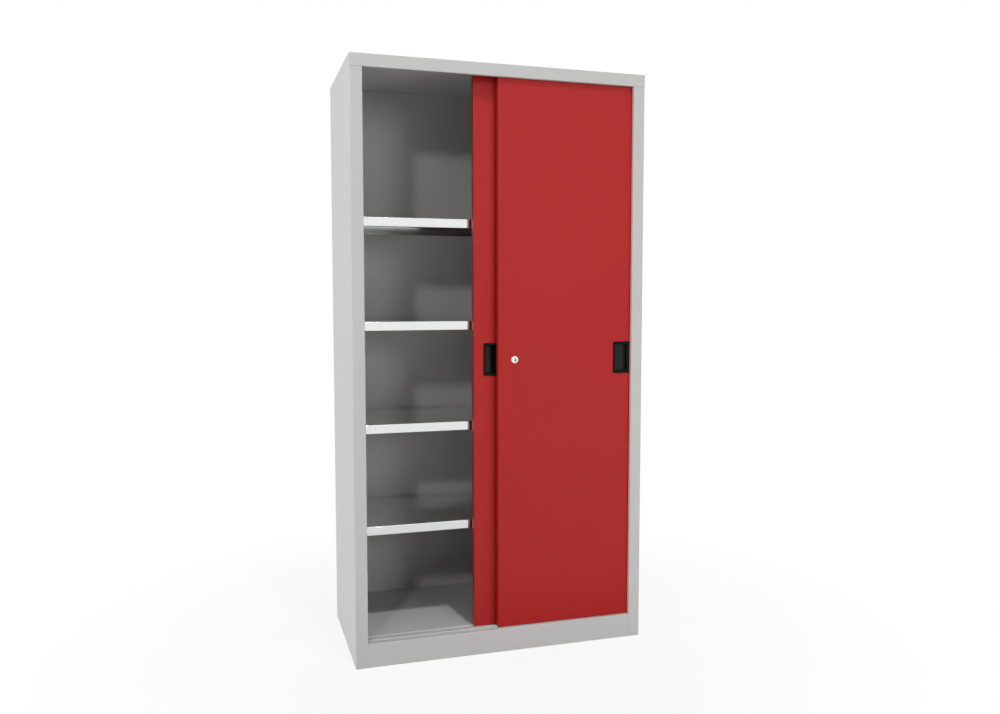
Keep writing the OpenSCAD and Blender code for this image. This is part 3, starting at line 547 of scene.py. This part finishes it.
# In glossy surfaces the floor's glow is dimmed towards the cabinet's front, as the inverse of the distance
# to it: painted shade for the cabinet's shadow in reflections
front_line = -0.25
painted_shade_reach = 0.257
axes = put(tree, "ShaderNodeSeparateXYZ", {"Vector": place}).outputs
ahead = reckon(tree, "SUBTRACT", front_line, axes["Y"])
painted_shade_share = reckon(tree, "DIVIDE", painted_shade_reach, ahead, use_clamp=True)
bright = reckon(tree, "SUBTRACT", 1.0, reckon(tree, "MULTIPLY", painted_shade_share, seen["Is Glossy Ray"]))
# The camera sees the matt floor with the cabinet's shadow, which blends into white further out
away = put(tree, "ShaderNodeVectorMath", {0: place}, operation="LENGTH").outputs["Value"]
whiter = spread(tree, away, between=(0.6, 1.7), to=(0.86, 1.0), interpolation_type="SMOOTHSTEP")
direct = reckon(tree, "MAXIMUM", seen["Is Camera Ray"], seen["Is Transmission Ray"])
white_share = reckon(tree, "MAXIMUM", reckon(tree, "MULTIPLY", direct, whiter), seen["Is Glossy Ray"])
matt = put(tree, "ShaderNodeBsdfDiffuse", {"Color": (0.64, 0.64, 0.64, 1)}).outputs[0]
glow = put(tree, "ShaderNodeEmission", {"Color": (1, 1, 1, 1), "Strength": bright}).outputs[0]
blend = put(tree, "ShaderNodeMixShader", {0: white_share, 1: matt, 2: glow}).outputs[0]
put(tree, "ShaderNodeOutputMaterial", {"Surface": blend})
floor_mesh.materials.append(pale)

# The surround is white to the eye and in reflections, and gives almost no light of its own
ambient = 0.02
world = bpy.data.worlds.new("white_surround")
bpy.context.scene.world = world
tree = bare_tree(world)
seen = put(tree, "ShaderNodeLightPath").outputs
direct = reckon(tree, "MAXIMUM", seen["Is Camera Ray"], seen["Is Glossy Ray"])
direct = reckon(tree, "MAXIMUM", direct, seen["Is Transmission Ray"])
light = mixed(tree, direct, (ambient, ambient, ambient, 1), (1, 1, 1, 1))
surround = put(tree, "ShaderNodeBackground", {"Color": light, "Strength": 1.0}).outputs[0]
put(tree, "ShaderNodeOutputWorld", {"Surface": surround})


def lamp(name, at, facing, size, watts, mirrored=False):
    """A square soft lamp. Only a mirrored one shows in glossy surfaces."""
    light = bpy.data.lights.new(name, "AREA")
    light.shape, light.size, light.energy = "SQUARE", size, watts
    made = bpy.data.objects.new(name, light)
    turn = (Vector(at) - Vector(facing)).to_track_quat("Z", "Y")
    made.matrix_world = Matrix.LocRotScale(Vector(at), turn, None)
    made.visible_camera, made.visible_glossy = False, mirrored
    bpy.context.scene.collection.objects.link(made)


front_middle = (0.0, -0.26, 1.0)
lamp("key_lamp", (0.68, -5.2, 8.95), facing=(0.0, -0.2, 0.2), size=0.45, watts=325, mirrored=True)
lamp("top_lamp", (0.0, -4.76, 12.13), facing=front_middle, size=6.8, watts=225)
lamp("side_lamp", (-6.0, -0.5, 2.2), facing=(-0.5, 0.0, 1.0), size=3.0, watts=202)
lamp("left_lamp", (-2.6, -4.31, 3.38), facing=(0.0, 0.0, 1.2), size=0.35, watts=46, mirrored=True)
lamp("high_left_lamp", (-4.29, -4.55, 4.5), facing=front_middle, size=1.2, watts=34, mirrored=True)
lamp("right_lamp", (2.34, -6.69, 2.46), facing=front_middle, size=1.6, watts=76)
lamp("low_right_lamp", (1.7, -2.7, 0.3), facing=(0.0, -0.26, 0.7), size=0.8, watts=16)
lamp("high_right_lamp", (3.03, -5.51, 4.5), facing=front_middle, size=2.2, watts=5)
lamp("far_side_lamp", (6.0, 1.6, 2.2), facing=(0.5, 0.1, 1.0), size=2.6, watts=190)
lamp("back_lamp", (0.2, 6.0, 2.6), facing=(0.0, 0.26, 1.0), size=3.0, watts=250)

# Camera: at the photograph's viewpoint, as solved from the cabinet's eight visible corners. It stands
# upright, and its heading and dip, in degrees, turn it from +Y towards +X and down.
camera_at = Vector((-0.87644, -3.0578, 1.21199))
heading = 17.1
dip = 4.1244
lens = bpy.data.cameras.new("camera")
lens.sensor_fit, lens.sensor_width, lens.lens = "HORIZONTAL", 36.0, 32.011
lens.clip_end = 100
camera = bpy.data.objects.new("camera", lens)
turn = Euler((radians(90 - dip), 0, radians(-heading)))
camera.matrix_world = Matrix.LocRotScale(camera_at, turn, None)
bpy.context.scene.collection.objects.link(camera)
bpy.context.scene.camera = camera
bpy.context.scene.view_settings.view_transform = "Standard"
